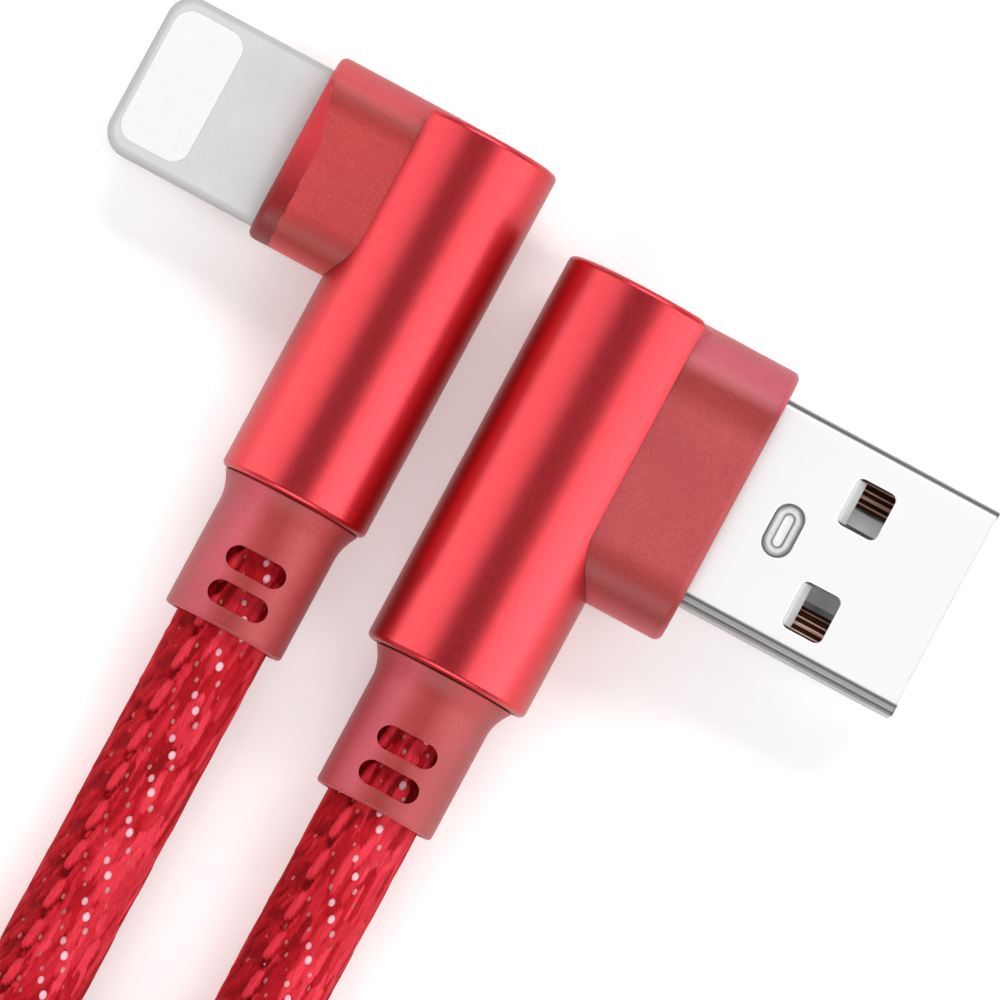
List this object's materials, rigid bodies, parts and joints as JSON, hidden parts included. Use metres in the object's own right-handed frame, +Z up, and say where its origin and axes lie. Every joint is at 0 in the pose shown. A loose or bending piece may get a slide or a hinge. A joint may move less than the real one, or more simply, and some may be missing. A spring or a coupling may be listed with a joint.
{
  "type": "charging cable",
  "caption": "Braided charging cable with a right-angle USB-A plug on one end, a right-angle phone plug on the other, and its length wound in a flat tied coil.",
  "frame": {"origin": "middle of the box of the two plugs, on the plane that they lie on", "axes": "+X the way the USB-A plug points, the phone plug points to -X; +Y from the cords towards the sleeves' closed ends; +Z up from the plane that the cable lies on"},
  "size_m": [0.0748, 0.1352, 0.0115],
  "materials": {
    "anodised_sleeve": "satin red anodised aluminium with a fine blasted grain",
    "moulded_collar": "matte soft red plastic, slightly textured",
    "moulded_relief": "matte soft red elastomer, slightly textured",
    "crimp_ring": "tinned steel",
    "polished_shell": "bright nickel plated steel sheet",
    "white_insulator": "smooth white plastic",
    "contact_metal": "warm copper coloured plated contacts",
    "tongue_frame": "fine blasted light grey metal",
    "circuit_board": "green solder mask",
    "chip": "matte black moulding",
    "wire_red": "satin wire sleeving",
    "wire_white": "satin wire sleeving",
    "wire_green": "satin wire sleeving",
    "wire_black": "satin wire sleeving",
    "braided_cord": "braided red yarn with a thin pale fleck yarn",
    "tie_strap": "woven hook and loop strap"
  },
  "bodies": {
    "root": {"cord_coil": "braided_cord", "cord_phone_run": "braided_cord", "cord_tie": "tie_strap", "cord_usb_run": "braided_cord", "phone_board": "circuit_board", "phone_chip": "chip", "phone_collar_body": "moulded_collar", "phone_contact_1": "contact_metal", "phone_contact_2": "contact_metal", "phone_contact_3": "contact_metal", "phone_contact_4": "contact_metal", "phone_contact_5": "contact_metal", "phone_contact_6": "contact_metal", "phone_contact_7": "contact_metal", "phone_contact_8": "contact_metal", "phone_cord_crimp": "crimp_ring", "phone_sleeve": "anodised_sleeve", "phone_strain_relief": "moulded_relief", "phone_tongue": "tongue_frame", "phone_tongue_insert": "white_insulator", "phone_wire_1": "wire_red", "phone_wire_2": "wire_white", "phone_wire_3": "wire_green", "phone_wire_4": "wire_black", "usb_collar_body": "moulded_collar", "usb_contact_1": "contact_metal", "usb_contact_2": "contact_metal", "usb_contact_3": "contact_metal", "usb_contact_4": "contact_metal", "usb_cord_crimp": "crimp_ring", "usb_insulator": "white_insulator", "usb_shell": "polished_shell", "usb_sleeve": "anodised_sleeve", "usb_strain_relief": "moulded_relief", "usb_wire_1": "wire_red", "usb_wire_2": "wire_white", "usb_wire_3": "wire_green", "usb_wire_4": "wire_black"}
  },
  "joints": []
}
